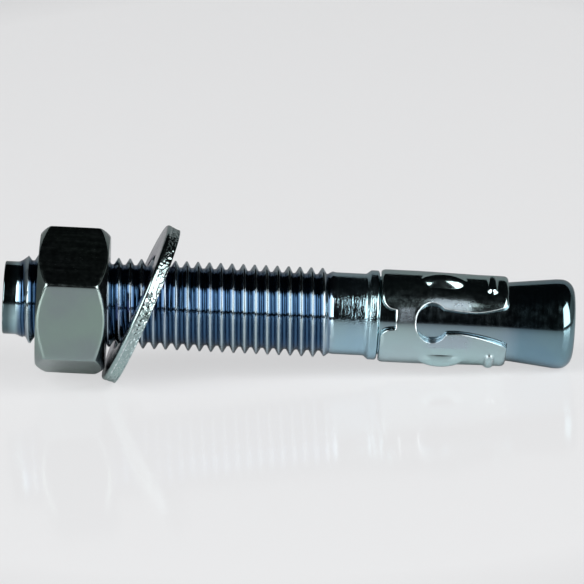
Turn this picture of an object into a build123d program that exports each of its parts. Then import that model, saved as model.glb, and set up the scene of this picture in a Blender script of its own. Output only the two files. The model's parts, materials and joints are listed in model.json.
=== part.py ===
"""Wedge anchor, M20: a bolt with an expansion cone, its clip, a washer and a hexagon nut.

Every piece is modelled along its own axis, X, with u = 0 at the hammered end of the bolt and u growing
towards the cone. The last step lays the assembly down as it rests: on the rim of the leaning washer and on
the widest part of the cone. Lengths are millimetres, angles are degrees.
"""

import os
from math import acos, asin, atan, atan2, ceil, cos, degrees, hypot, pi, radians, sin, tan

from build123d import *

# ---------------------------------------------------------------- bolt
CREST_DIAMETER = 19.7  # over the crests of its M20 thread
DOG_DIAMETER = 16.05  # the plain end that takes the hammer
DOG_LENGTH = 2.8
DOG_CHAMFER = 0.3
FLARE_LENGTH = 2.6  # the cone that leads up to the thread
THREAD_LENGTH = 68.0
THREAD_PITCH = 2.5
THREAD_ROOT_DIAMETER = 16.9
THREAD_CREST_STATION = 0.92  # where a crest that faces -Y would be, nearest the hammered end
THREAD_SIDES = 16  # flat facets in one turn
THREAD_RUN_OUT = 2.5  # where the ridge fades into the shank
THREAD_SINK = 0.05  # how far the ends of the thread lie under the dog and the shank
SHANK_DIAMETER = 18.05
SHANK_LENGTH = 6.6
RISE_LENGTH = 1.0  # the smooth rise to the collar
COLLAR_DIAMETER = 19.7
COLLAR_LENGTH = 1.85
COLLAR_CHAMFER = 0.5
NECK_DIAMETER = 17.3
CONE_DIAMETER = 19.7
CONE_ANGLE = 6.3  # half angle of the expansion cone
LAND_LENGTH = 0.9  # the widest part, which guides the bolt in its hole
TIP_ROUND = 3.0
TIP_STEPS = 3  # flats in that round
TIP_CROWN = 0.5  # how far the end bulges
TIP_FLAT = 7.0

# ---------------------------------------------------------------- expansion clip
CLIP_LENGTH = 28.0
CLIP_WALL = 1.5
CLIP_PLAY = 0.08  # between neck and clip, on the radius
CLIP_GAP = 0.35  # between collar and clip
CLIP_CHAMFER = 0.7
PAD_PITCH = 124.0  # angle from one pad to the next
FIRST_PAD_ANGLE = 68.0
NOTCH_DEPTH = 3.3
NOTCH_ANGLE = 12.6  # half angle of the notch where it meets the bridge
PAD_CORNER = 3.1
BRIDGE_WIDTH = 4.5
KEYHOLE_RADIUS = 4.1
SLOT_ANGLE = 16.2  # half angle of the slot's parallel sides
SLOT_FLARE_LENGTH = 8.0
SLOT_FLARE_RADIUS = 17.0
SEAM_GAP = 1.0
BUMP_LENGTH = 10.4
BUMP_WIDTH = 5.2
BUMP_HEIGHT = 1.35
BUMP_STATION = 13.2  # from the clip's collar end to the middle of the bump
BUMP_WALL = 1.1
NIB_LENGTH = 2.3
NIB_WIDTH = 5.2
NIB_HEIGHT = 0.4
NIB_FROM_END = 3.4

# ---------------------------------------------------------------- washer and nut
WASHER_DIAMETER = 37.0
WASHER_HOLE = 22.5
WASHER_THICKNESS = 3.0
WASHER_ROLL = 0.4  # the edge that the punch rolled over
WASHER_CLEARANCE = 0.1  # between the leaning hole and the crests
NUT_WIDTH = 30.0  # across flats
NUT_THICKNESS = 16.0
NUT_STATION = 7.2  # from the hammered end to the nut
NUT_CLEARANCE = 0.08  # between the nut's bore and the bolt's crests, on the radius
NUT_CHAMFER_ANGLE = 30.0
NUT_CHAMFER_DIAMETER = 28.6  # of the flat ring on each face
NUT_COUNTERSINK = 20.6
NUT_TURN = 21.5  # where one corner points, up from level
NUT_WASHER_GAP = 0.05

# ---------------------------------------------------------------- worked out from the sizes above
CREST_RADIUS = CREST_DIAMETER / 2
FLARE_END = DOG_LENGTH + FLARE_LENGTH
THREAD_END = FLARE_END + THREAD_LENGTH
RISE_START = THREAD_END + SHANK_LENGTH
COLLAR_START = RISE_START + RISE_LENGTH
COLLAR_END = COLLAR_START + COLLAR_LENGTH
CLIP_START = COLLAR_END + CLIP_GAP
CLIP_END = CLIP_START + CLIP_LENGTH
CLIP_BORE = NECK_DIAMETER + 2 * CLIP_PLAY
CLIP_RADIUS = CLIP_BORE / 2 + CLIP_WALL
CONE_START = CLIP_END
CONE_END = CONE_START + (CONE_DIAMETER - NECK_DIAMETER) / 2 / tan(radians(CONE_ANGLE))
LAND_END = CONE_END + LAND_LENGTH

# the washer leans until its hole all but binds on the crests
WASHER_LEAN = degrees(
    acos((CREST_DIAMETER + 2 * WASHER_CLEARANCE) / hypot(WASHER_HOLE, WASHER_THICKNESS))
    - atan(WASHER_THICKNESS / WASHER_HOLE)
)
NUT_FACE = NUT_STATION + NUT_THICKNESS
# its face meets the nut on the lowest point of the nut's flat ring
WASHER_STATION = (
    NUT_FACE
    + (WASHER_THICKNESS / 2 + NUT_WASHER_GAP) / cos(radians(WASHER_LEAN))
    + NUT_CHAMFER_DIAMETER / 2 * tan(radians(WASHER_LEAN))
)

# a plane that faces -Y, with its own x along the bolt and its own y upwards
FACING = Plane(origin=(0, 0, 0), x_dir=(1, 0, 0), z_dir=(0, -1, 0))
# a plane that looks along the bolt, with its own x towards -Y
ENDWISE = Plane(origin=(0, 0, 0), x_dir=(0, -1, 0), z_dir=(1, 0, 0))


def about_axis(angle):
    """Turns a feature that faces -Y up round the bolt's axis by this angle."""
    return Rot(X=-angle)


def turned(*lines):
    """The solid that a closed half outline makes when it is turned round X."""
    return revolve(make_face(Curve() + list(lines)), Axis.X)


# ---------------------------------------------------------------- bolt
def anchor_stud():
    """The bolt: dog end, threaded length, shank, collar, neck and expansion cone, turned as one piece."""
    dog = DOG_DIAMETER / 2
    crest = CREST_DIAMETER / 2
    shank = SHANK_DIAMETER / 2
    collar = COLLAR_DIAMETER / 2
    neck = NECK_DIAMETER / 2
    cone = CONE_DIAMETER / 2
    dog_end = Polyline((0, 0), (0, dog - DOG_CHAMFER), (DOG_CHAMFER, dog), (DOG_LENGTH, dog), (DOG_LENGTH, 0), (0, 0))
    outline = Polyline(
        (THREAD_END, 0),
        (THREAD_END, shank),
        (RISE_START, shank),
        (COLLAR_START, collar),
        (COLLAR_END - COLLAR_CHAMFER, collar),
        (COLLAR_END, collar - COLLAR_CHAMFER),
        (COLLAR_END, neck),
        (CONE_START, neck),
        (CONE_END, cone),
        (LAND_END, cone),
    )
    # the round at the tip, in flats
    corner = CenterArc((LAND_END, cone - TIP_ROUND), TIP_ROUND, 90, arc_size=-90)
    flats = Polyline(*[corner @ (step / TIP_STEPS) for step in range(TIP_STEPS + 1)])
    end = LAND_END + TIP_ROUND + TIP_CROWN
    crown = Polyline(corner @ 1, (end, TIP_FLAT / 2), (end, 0), (THREAD_END, 0))
    return turned(dog_end) + threaded_length() + turned(outline, flats, crown)


def ridge_radius(station, radius):
    """The radius of a crest or a root there: no wider than the flare, and fading into the shank."""
    dog = DOG_DIAMETER / 2 - THREAD_SINK
    shank = SHANK_DIAMETER / 2 - THREAD_SINK
    flare = dog + (CREST_RADIUS - dog) * (station - DOG_LENGTH) / FLARE_LENGTH
    fade = min(max((THREAD_END - station) / THREAD_RUN_OUT, 0), 1)
    return min(flare, shank + (radius - shank) * fade)


def threaded_length():
    """The thread: a strip of flat facets from root to crest to the next root, wound along the bolt.

    Column k of the strip stands k / THREAD_SIDES of a turn further on. A right-hand thread turns downwards
    on the near side as it runs towards the cone. The strip starts inside the dog and ends inside the shank.
    """
    start = THREAD_SINK
    first_turn = (start + THREAD_PITCH / 2 - THREAD_CREST_STATION) / THREAD_PITCH
    columns = ceil((THREAD_END + THREAD_SINK - start) / THREAD_PITCH * THREAD_SIDES)

    def point(column, shift, radius):
        station = start + (column / THREAD_SIDES + shift) * THREAD_PITCH
        angle = 2 * pi * (first_turn + column / THREAD_SIDES)
        radius = ridge_radius(station, radius)
        return Vector(station, -radius * cos(angle), -radius * sin(angle))

    roots = [point(k, 0, THREAD_ROOT_DIAMETER / 2) for k in range(columns + THREAD_SIDES + 1)]
    crests = [point(k, 0.5, CREST_RADIUS) for k in range(columns + 1)]
    triangles = []
    for k in range(columns):
        beyond = k + THREAD_SIDES
        triangles += [(roots[k], roots[k + 1], crests[k + 1]), (roots[k], crests[k + 1], crests[k])]
        triangles += [(crests[k], crests[k + 1], roots[beyond + 1]), (crests[k], roots[beyond + 1], roots[beyond])]
    for end in (0, columns):
        rim = roots[end : end + THREAD_SIDES + 1] + [crests[end], roots[end]]
        middle = Vector(start + (end / THREAD_SIDES + 0.5) * THREAD_PITCH, 0, 0)
        triangles += [(middle, a, b) for a, b in zip(rim, rim[1:])]
    return Solid(Shell([Face(Wire.make_polygon(corners)) for corners in triangles]))


# ---------------------------------------------------------------- expansion clip
def pad_angles():
    """The three pads, counted so that the seam is left between the last and the first but one."""
    return [FIRST_PAD_ANGLE, FIRST_PAD_ANGLE - PAD_PITCH, FIRST_PAD_ANGLE + PAD_PITCH]


def notch():
    """The cutter for the notch at the collar end, between the rounded corners of two pads."""
    foot = CLIP_RADIUS * sin(radians(NOTCH_ANGLE))
    mouth = foot + PAD_CORNER
    corner = CLIP_START + PAD_CORNER
    bottom = CLIP_START + NOTCH_DEPTH
    outside = CLIP_START - 1
    upper = CenterArc((corner, mouth), PAD_CORNER, 180, arc_size=90)
    lower = CenterArc((corner, -mouth), PAD_CORNER, 90, arc_size=90)
    right = Polyline(upper @ 1, (bottom, foot), (bottom, -foot), lower @ 0)
    left = Polyline(lower @ 1, (outside, -mouth), (outside, mouth), upper @ 0)
    return extrude(FACING * make_face(Curve() + [upper, right, lower, left]), amount=2 * CLIP_RADIUS)


def keyhole_slot():
    """The cutter for the slot: a round end against the bridge, then two sides that flare to the free end."""
    side = CLIP_RADIUS * sin(radians(SLOT_ANGLE))
    middle = CLIP_START + NOTCH_DEPTH + BRIDGE_WIDTH + KEYHOLE_RADIUS
    flare = CLIP_END - SLOT_FLARE_LENGTH
    cusp = degrees(asin(side / KEYHOLE_RADIUS))
    end = CenterArc((middle, 0), KEYHOLE_RADIUS, cusp, arc_size=360 - 2 * cusp)
    upper = Line(end @ 0, (flare, side))
    upper_flare = CenterArc((flare, side + SLOT_FLARE_RADIUS), SLOT_FLARE_RADIUS, 270, arc_size=35)
    lower_flare = CenterArc((flare, -side - SLOT_FLARE_RADIUS), SLOT_FLARE_RADIUS, 90, arc_size=-35)
    mouth = Line(upper_flare @ 1, lower_flare @ 1)
    lower = Line((flare, -side), end @ 1)
    outline = Curve() + [end, upper, upper_flare, mouth, lower_flare, lower]
    return extrude(FACING * make_face(outline), amount=2 * CLIP_RADIUS)


def bump(inset):
    """A pressed bump, which is what a barrel along the clip and one across it have in common."""
    top = CLIP_RADIUS + BUMP_HEIGHT
    # across the pad, the circle through the bump's top and its two edges
    edge = CLIP_RADIUS * cos(BUMP_WIDTH / 2 / CLIP_RADIUS)
    narrow = top - (top**2 - CLIP_RADIUS**2) / (2 * (top - edge))
    # along the clip, the circle through the bump's top and its two ends
    wide = (BUMP_LENGTH**2 / 4 + BUMP_HEIGHT**2) / (2 * BUMP_HEIGHT)
    along = Pos(0, narrow - top, 0) * Cylinder(narrow - inset, BUMP_LENGTH, rotation=(0, 90, 0))
    across = Pos(0, wide - top, 0) * Cylinder(wide - inset, 2 * narrow)
    return Pos(CLIP_START + BUMP_STATION, 0, 0) * (along & across)


def nib():
    """A low oval pip near the free end, long round the clip."""
    outline = SlotOverall(NIB_WIDTH, NIB_LENGTH, rotation=90)
    post = extrude(FACING * Pos(CLIP_END - NIB_FROM_END, 0) * outline, amount=2 * CLIP_RADIUS)
    skin = Cylinder(CLIP_RADIUS + NIB_HEIGHT, CLIP_LENGTH, rotation=(0, 90, 0))
    return post & Pos((CLIP_START + CLIP_END) / 2, 0, 0) * skin


def expansion_clip():
    """The clip: one stamped strip rolled round the neck, with three pads, two bridges and a seam."""
    outer = CLIP_RADIUS
    inner = CLIP_BORE / 2
    tube = turned(
        Polyline(
            (CLIP_START, 0),
            (CLIP_START, outer - CLIP_CHAMFER),
            (CLIP_START + CLIP_CHAMFER, outer),
            (CLIP_END - CLIP_CHAMFER, outer),
            (CLIP_END, outer - CLIP_CHAMFER),
            (CLIP_END, 0),
            close=True,
        )
    )
    middle = Pos((CLIP_START + CLIP_END) / 2, 0, 0)
    bore = middle * Cylinder(inner, CLIP_LENGTH + 2, rotation=(0, 90, 0))
    pads = [about_axis(angle) for angle in pad_angles()]
    clip = tube + [pad * bump(0) for pad in pads] + [pad * nib() for pad in pads]
    clip -= [bore] + [pad * bump(BUMP_WALL) for pad in pads]
    seam_angle = FIRST_PAD_ANGLE + 180
    slots = [FIRST_PAD_ANGLE - PAD_PITCH / 2, FIRST_PAD_ANGLE + PAD_PITCH / 2, seam_angle]
    clip -= [about_axis(angle) * cutter for angle in slots for cutter in (notch(), keyhole_slot())]
    seam = Box(CLIP_LENGTH + 2, 2 * CLIP_RADIUS, SEAM_GAP)
    clip -= about_axis(seam_angle) * Pos((CLIP_START + CLIP_END) / 2, -CLIP_RADIUS, 0) * seam
    return clip


# ---------------------------------------------------------------- washer and nut
def washer():
    """The washer, which leans against the nut, with the rolled edge of its punched blank on the nut's side."""
    half = WASHER_THICKNESS / 2
    rim = WASHER_DIAMETER / 2
    disc = turned(
        Polyline(
            (-half, WASHER_HOLE / 2),
            (-half, rim - WASHER_ROLL),
            (WASHER_ROLL - half, rim),
            (half, rim),
            (half, WASHER_HOLE / 2),
            close=True,
        )
    )
    # with its seam on top, the rim stands on a facet and not on the corner between two
    return Pos(WASHER_STATION, 0, 0) * Rot(Y=WASHER_LEAN) * about_axis(-90) * disc


def hex_nut():
    """The nut: a hexagon chamfered to a round at both faces, its bore clear of the bolt's crests."""
    corner = NUT_WIDTH / 2 / cos(radians(30))
    drop = (corner - NUT_CHAMFER_DIAMETER / 2) * tan(radians(NUT_CHAMFER_ANGLE))
    end = NUT_THICKNESS
    hexagon = extrude(ENDWISE * RegularPolygon(corner, 6), amount=end)
    chamfers = turned(
        Polyline(
            (0, 0),
            (0, NUT_CHAMFER_DIAMETER / 2),
            (drop, corner),
            (end - drop, corner),
            (end, NUT_CHAMFER_DIAMETER / 2),
            (end, 0),
            close=True,
        )
    )
    inner = CREST_DIAMETER / 2 + NUT_CLEARANCE
    sink = NUT_COUNTERSINK / 2
    bore = turned(
        Polyline(
            (0, 0),
            (0, sink),
            (sink - inner, inner),
            (end - sink + inner, inner),
            (end, sink),
            (end, 0),
            close=True,
        )
    )
    return about_axis(NUT_TURN) * Pos(NUT_STATION, 0, 0) * (hexagon & chamfers - bore)


# ---------------------------------------------------------------- as it rests
def rest_angle():
    """How far the bolt's nose is down when the washer's rim and the cone's round touch one floor."""
    lean = radians(WASHER_LEAN)
    rim_u = WASHER_STATION + cos(lean) * WASHER_THICKNESS / 2 - sin(lean) * WASHER_DIAMETER / 2
    rim_z = -sin(lean) * WASHER_THICKNESS / 2 - cos(lean) * WASHER_DIAMETER / 2
    along = LAND_END - rim_u
    below = CONE_DIAMETER / 2 - TIP_ROUND + rim_z
    return degrees(asin(-TIP_ROUND / hypot(along, below)) - atan2(below, along))


def main():
    pieces = {
        "anchor_stud": anchor_stud(),
        "expansion_clip": expansion_clip(),
        "washer": washer(),
        "hex_nut": hex_nut(),
    }
    laid = {name: Rot(Y=rest_angle()) * piece for name, piece in pieces.items()}
    box = Compound(list(laid.values())).bounding_box()
    to_origin = Pos(-box.center().X, -box.center().Y, -box.min.Z)
    os.makedirs("parts", exist_ok=True)
    for name, piece in laid.items():
        export_step(to_origin * piece, f"parts/{name}.step")


main()
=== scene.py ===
# %% [markdown]
# # A wedge anchor in zinc
# A wedge anchor is a steel bolt for concrete. Its clip grips the wall of the hole, and when the nut is
# tightened the cone at the end of the bolt is drawn into the clip and spreads it. The solid model is the
# fixed frame. This lesson gives it its looks: a rolled thread, a stamped clip, a punched washer, a forged
# nut, and the bright blue zinc that covers all four. Lengths are in millimetres until they reach the mesh,
# because fasteners are measured that way.

# %% The frame that the looks are built on
import json
from math import degrees, pi, radians, tan

import bmesh
import bpy
import numpy as np
from mathutils import Matrix


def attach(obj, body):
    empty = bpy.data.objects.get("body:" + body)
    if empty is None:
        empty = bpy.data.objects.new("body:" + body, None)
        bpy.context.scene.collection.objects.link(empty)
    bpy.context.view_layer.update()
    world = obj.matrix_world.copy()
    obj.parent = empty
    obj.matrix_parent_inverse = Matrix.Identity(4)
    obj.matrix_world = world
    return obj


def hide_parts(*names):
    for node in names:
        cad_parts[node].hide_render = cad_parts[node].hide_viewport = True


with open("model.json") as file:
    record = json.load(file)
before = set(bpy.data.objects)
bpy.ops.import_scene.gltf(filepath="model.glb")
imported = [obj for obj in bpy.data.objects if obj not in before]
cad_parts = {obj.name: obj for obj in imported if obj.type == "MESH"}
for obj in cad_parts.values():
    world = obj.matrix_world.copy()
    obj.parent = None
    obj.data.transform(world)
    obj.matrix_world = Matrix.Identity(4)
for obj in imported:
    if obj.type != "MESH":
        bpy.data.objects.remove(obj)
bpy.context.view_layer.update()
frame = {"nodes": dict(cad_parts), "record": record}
MM = 0.001

# %% [markdown]
# ## Stations and angles
# Every piece is round about the bolt, so a point is easiest to give as a station along the bolt, a radius,
# and an angle that counts upwards from the side that faces us. The mount on the hammered end tells where
# the bolt starts and where it points, and the nodes tell where each piece begins and ends.

# %% From station, radius and angle to a point
hammered_end = next(m for m in frame["record"]["mounts"] if m["name"] == "hammered_end")
START = np.array(hammered_end["pos_m"])
ALONG = -np.array(hammered_end["axis"])
SIDE = np.array([0.0, -1.0, 0.0])
UP = np.cross(SIDE, ALONG)


def place(station, radius, angle):
    """START + station * ALONG + radius * (cos(angle) * SIDE + sin(angle) * UP), for whole arrays at once."""
    station, radius, angle = np.broadcast_arrays(station, radius, angle)
    across = np.cos(angle)[..., None] * SIDE + np.sin(angle)[..., None] * UP
    return START + MM * (station[..., None] * ALONG + radius[..., None] * across)


def read(mesh, part, values, width):
    """One array with a row for each corner or edge of a mesh."""
    found = np.empty(len(getattr(mesh, part)) * width, int if values == "vertices" else float)
    getattr(mesh, part).foreach_get(values, found)
    return found.reshape(-1, width)


def reach(node):
    """The first and the last station of a CAD node."""
    corners = (read(frame["nodes"][node].data, "vertices", "co", 3) - START) / MM
    station = corners @ ALONG
    return station.min(), station.max()


STUD_END = reach("anchor_stud")[1]
NUT_START, NUT_END = reach("hex_nut")
CLIP_START, CLIP_END = reach("expansion_clip")
print(f"bolt {STUD_END:.2f} mm, nut {NUT_START:.2f} to {NUT_END:.2f} mm")
print(f"clip {CLIP_START:.2f} to {CLIP_END:.2f} mm")

# %% [markdown]
# ## The camera
# A long lens far away keeps the bolt's edges parallel, as in a catalogue picture. The camera looks square
# at the bolt from a little above, and is rolled a little, so that the floor rises to the right.

# %% Camera
CAMERA_ELEVATION = radians(14.0)
CAMERA_ROLL = radians(1.73)
CAMERA_DISTANCE = 1.0
SENSOR_WIDTH = 36.0
PIXELS_PER_MM = 4.5314
FRAME_PIXELS = 584
AIM_HEIGHT = 16.0
AIM = (-4.0, 13.0)  # how far the aim lies from the picture's middle, right and down, in pixels

view_back = np.array([0.0, -np.cos(CAMERA_ELEVATION), np.sin(CAMERA_ELEVATION)])
view_right = np.array([1.0, 0.0, 0.0])
view_up = np.cross(view_back, view_right)
roll = np.array([[np.cos(CAMERA_ROLL), np.sin(CAMERA_ROLL)], [-np.sin(CAMERA_ROLL), np.cos(CAMERA_ROLL)]])
offset = roll @ np.array([AIM[0], -AIM[1]]) * MM / PIXELS_PER_MM
middle = np.array([0.0, 0.0, AIM_HEIGHT * MM]) - offset[0] * view_right - offset[1] * view_up
rolled_right = np.cos(CAMERA_ROLL) * view_right - np.sin(CAMERA_ROLL) * view_up
rolled_up = np.sin(CAMERA_ROLL) * view_right + np.cos(CAMERA_ROLL) * view_up

camera = bpy.data.objects.new("camera", bpy.data.cameras.new("camera"))
camera.data.sensor_width = SENSOR_WIDTH
camera.data.lens = PIXELS_PER_MM / MM * CAMERA_DISTANCE / FRAME_PIXELS * SENSOR_WIDTH
camera.data.clip_end = 10.0
pose = np.eye(4)
pose[:3, 0], pose[:3, 1], pose[:3, 2] = rolled_right, rolled_up, view_back
pose[:3, 3] = middle + CAMERA_DISTANCE * view_back
camera.matrix_world = Matrix(pose.tolist())
bpy.context.scene.collection.objects.link(camera)
bpy.context.scene.camera = camera
bpy.context.scene.view_settings.view_transform = "Standard"
print(f"lens {camera.data.lens:.0f} mm at {CAMERA_DISTANCE} m")

# %% [markdown]
# ## From a grid of numbers to a mesh
# Each surface is a grid: rows along its profile, columns round it or across it. `grid` turns such an array
# of points into corners and four-sided faces. `weld` joins several grids where their borders meet, turns
# the faces outwards and shades them smooth, with a crease wherever the surface really turns a corner.


# %% Grids and welding
def grid(points):
    """The corners of an array of rows and columns of points, and one face between each 2 x 2 of them."""
    rows, columns = points.shape[:2]
    number = np.arange(rows * columns).reshape(rows, columns)
    faces = np.stack([number[:-1, :-1], number[:-1, 1:], number[1:, 1:], number[1:, :-1]], -1)
    return points.reshape(rows * columns, -1), faces.reshape(-1, 4)


def join(patches):
    """Several (corners, faces) pairs as one pair."""
    counts = np.cumsum([0] + [len(corners) for corners, _ in patches])
    corners = np.concatenate([corners for corners, _ in patches])
    return corners, np.concatenate([faces + first for (_, faces), first in zip(patches, counts)])


def weld(name, corners, faces, crease=35.0, gap=0.0005):
    """One object from corners and faces: corners closer than the gap are merged and faces point outwards."""
    mesh = bpy.data.meshes.new(name)
    mesh.from_pydata(corners, [], faces)
    shape = bmesh.new()
    shape.from_mesh(mesh)
    bmesh.ops.remove_doubles(shape, verts=shape.verts, dist=gap * MM)
    bmesh.ops.dissolve_degenerate(shape, edges=shape.edges, dist=gap * MM)
    bmesh.ops.recalc_face_normals(shape, faces=shape.faces)
    if shape.calc_volume(signed=True) < 0:
        bmesh.ops.reverse_faces(shape, faces=shape.faces)
    open_edges = sum(edge.is_boundary for edge in shape.edges)
    shape.to_mesh(mesh)
    shape.free()
    mesh.shade_smooth()
    mesh.set_sharp_from_angle(angle=radians(crease))
    piece = bpy.data.objects.new(name, mesh)
    bpy.context.scene.collection.objects.link(piece)
    print(f"{name}: {len(mesh.vertices)} corners, {len(mesh.polygons)} faces, {open_edges} open edges")
    return piece


# %% [markdown]
# ## Profiles with rounded corners
# No edge on a plated bolt is truly sharp: the zinc and the tumbling round it, and that thin round is what
# catches the light. `rounded` takes an outline, in which each corner has the radius of its own arc beside
# its two coordinates, and lays the arcs in.


# %% Rounded outlines
def rounded(outline, arc_steps=5, beside=0.0):
    """The line through the corners of an outline, each given as (x, y, radius of its arc).

    An arc of radius R in a corner that turns by the angle T starts R * tan(T / 2) before the corner. It is
    drawn as start + R * sin(t) * into + R * (1 - cos(t)) * inwards, with t from 0 to T. Smooth shading
    spreads an arc over the whole face next to it, so one more point may lie a little beside each end.
    """
    outline = np.array(outline, float)
    corners = outline[:, :2]
    pieces = [corners[:1]]
    for before, corner, after, radius in zip(corners, corners[1:], corners[2:], outline[1:, 2]):
        into = (corner - before) / np.linalg.norm(corner - before)
        out = (after - corner) / np.linalg.norm(after - corner)
        turn = np.arccos(np.clip(into @ out, -1, 1))
        if radius == 0 or turn < 1e-6:
            pieces.append(corner[None])
            continue
        inwards = (out - (into @ out) * into) / np.sin(turn)
        t = np.linspace(0, turn, arc_steps)[:, None]
        begin = corner - radius * tan(turn / 2) * into
        arc = begin + radius * np.sin(t) * into + radius * (1 - np.cos(t)) * inwards
        pieces += [arc[:1] - beside * into, arc, arc[-1:] + beside * out] if beside else [arc]
    pieces.append(corners[-1:])
    return np.concatenate(pieces)


def lathe(profile, angles):
    """The surface that a profile of (station, radius) sweeps as it turns round the bolt."""
    return grid(place(profile[:, :1], profile[:, 1:], angles[None, :]))


# %% [markdown]
# ## The thread
# The thread of an M20 bolt climbs 2.5 mm in a turn. It is rolled between dies, so its crests and roots are
# round. A plain grid of stations and angles would cut across the ridges and leave them ragged. Here the
# rows of the grid climb with the ridge instead: row p stands at station p - pitch * turns, so that each
# row stays on one line of the thread, crest, flank or root, all the way along.

# %% The thread's section and its helicoid
PITCH = 2.5
CREST = 9.85
ROOT = 8.45
CREST_WIDTH = 0.34
CREST_ROUND = 0.14
ROOT_ROUND = 0.3
FLANK = (CREST - ROOT) * tan(radians(30.0))
ROOT_WIDTH = PITCH - CREST_WIDTH - 2 * FLANK
THREAD_PHASE = 2.17  # the station of a root where the angle is zero

section_outline = [
    (-ROOT_WIDTH / 2, ROOT, 0),
    (ROOT_WIDTH / 2, ROOT, ROOT_ROUND),
    (ROOT_WIDTH / 2 + FLANK, CREST, CREST_ROUND),
    (PITCH - ROOT_WIDTH / 2 - FLANK, CREST, CREST_ROUND),
    (PITCH - ROOT_WIDTH / 2, ROOT, ROOT_ROUND),
    (PITCH + ROOT_WIDTH / 2, ROOT, 0),
]
section = rounded(section_outline, arc_steps=4)[1:-1]
print(f"thread section: {len(section)} points a pitch, flanks {FLANK:.2f} mm")


def thread_radius(station, angle):
    """The section's height at a point: the thread repeats each pitch along the bolt and climbs one a turn."""
    along = (station + PITCH * angle / (2 * pi) - THREAD_PHASE) % PITCH
    return np.interp(along, section[:, 0], section[:, 1], period=PITCH)


def helicoid(start, end, angles, radius_at):
    """Rows that climb with the thread, cut off square at both ends."""
    first = int(np.floor((start - THREAD_PHASE) / PITCH)) - 1
    last = int(np.ceil((end - THREAD_PHASE) / PITCH)) + 2
    rows = THREAD_PHASE + (np.arange(first, last)[:, None] * PITCH + section[None, :, 0]).ravel()
    station = np.clip(rows[:, None] - PITCH * angles[None, :] / (2 * pi), start, end)
    return grid(place(station, radius_at(station, angles[None, :]), angles[None, :]))


# %% [markdown]
# ## The bolt
# The bolt is one piece: a plain end that takes the hammer, a short cone that leads into the thread, the
# thread, a plain shank, a collar that keeps the clip in its place, the neck inside the clip and the cone.
# The thread fades in over the leading cone and fades out where the dies end. Both plain stretches are
# profiles on a lathe, and the thread between them is a helicoid that ends square where they begin.

# %% The bolt's sizes
DOG = 16.05 / 2
DOG_START = 0.35
DOG_LENGTH = 3.2
DOG_ROUND = 0.3
LEAD_LENGTH = 2.6
LEAD_POWER = 1.5
LEAD_SOFTNESS = 0.1
THREAD_END = 73.4
RUN_OUT = 3.2
SHANK = 18.05 / 2
RISE_START = 80.0
COLLAR_START = 81.0
COLLAR_END = 82.85
NECK = 17.3 / 2
CONE_START = CLIP_END
CONE_ANGLE = radians(6.3)
CONE_RADIUS = 9.84
CONE_END = CONE_START + (CONE_RADIUS - NECK) / tan(CONE_ANGLE)
TIP_ROUND = 3.0
TIP_CROWN = 0.5
TIP_FLAT = 3.5
TIP_END = STUD_END - 0.15
print(f"the cone widens from {CONE_START:.1f} to {CONE_END:.1f} mm")


# %% The bolt's surface
def softer(first, second, softness):
    """The smaller of two values, with the corner between them rounded off."""
    mix = np.clip(0.5 + (second - first) / (2 * softness), 0, 1)
    return second * (1 - mix) + first * mix - softness * mix * (1 - mix)


def bolt_radius(station, angle):
    """The thread, no wider than a trumpet that leads into it, and fading into the shank where it ends."""
    share = np.maximum(station - DOG_LENGTH, 0) / LEAD_LENGTH
    lead = DOG + (CREST - DOG) * share**LEAD_POWER
    fade = np.clip((THREAD_END - station) / RUN_OUT, 0, 1)
    fade = fade * fade * (3 - 2 * fade)
    ridge = SHANK + (thread_radius(station, angle) - SHANK) * fade
    leading = station < DOG_LENGTH + 2 * LEAD_LENGTH
    return np.where(leading, softer(lead, ridge, LEAD_SOFTNESS), ridge)


round_angles = np.linspace(0, 2 * pi, 145)
dog_profile = rounded([(DOG_START, 0, 0), (DOG_START, DOG, DOG_ROUND), (DOG_LENGTH, DOG, 0)], beside=0.03)
dog_profile[-1, 1] = bolt_radius(np.array(DOG_LENGTH), np.array(0.0))
shank_profile = rounded(
    [
        (THREAD_END, SHANK, 0),
        (RISE_START, SHANK, 0.8),
        (COLLAR_START, CREST, 0.6),
        (COLLAR_END, CREST, 0.5),
        (COLLAR_END, NECK, 0.2),
        (CONE_START, NECK, 6.0),
        (CONE_END, CONE_RADIUS, 2.0),
        (TIP_END - TIP_CROWN, CONE_RADIUS, TIP_ROUND),
        (TIP_END, TIP_FLAT, 4.0),
        (TIP_END, 0, 0),
    ],
    arc_steps=11,
    beside=0.06,
)
corners, faces = join(
    [
        lathe(dog_profile, round_angles),
        helicoid(DOG_LENGTH, THREAD_END, round_angles, bolt_radius),
        lathe(shank_profile, round_angles),
    ]
)
bolt = weld("threaded_bolt", corners, faces)

# %% [markdown]
# ## The nut
# A hexagon nut is a six-sided prism whose corners are turned off by a cone at each face. Both are limits on
# the radius, and the nut takes the smaller. A plain minimum would give knife edges. The formula
# 1 / radius = (sum of (1 / limit) ^ n) ^ (1 / n) follows the smaller limit too, but turns smoothly from one
# to the other, and the larger n is, the tighter the round. A nut's edges are worn to about 0.3 mm.

# %% The nut's outside
NUT_FLATS = 29.8
NUT_FRONT = NUT_START + 0.7
NUT_LENGTH = NUT_END - NUT_FRONT
NUT_TURN = radians(24.8)
NUT_FACE_RADIUS = 14.5
NUT_BEVEL = radians(38.0)
NUT_EDGE = 75.0  # the formula's n

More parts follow.
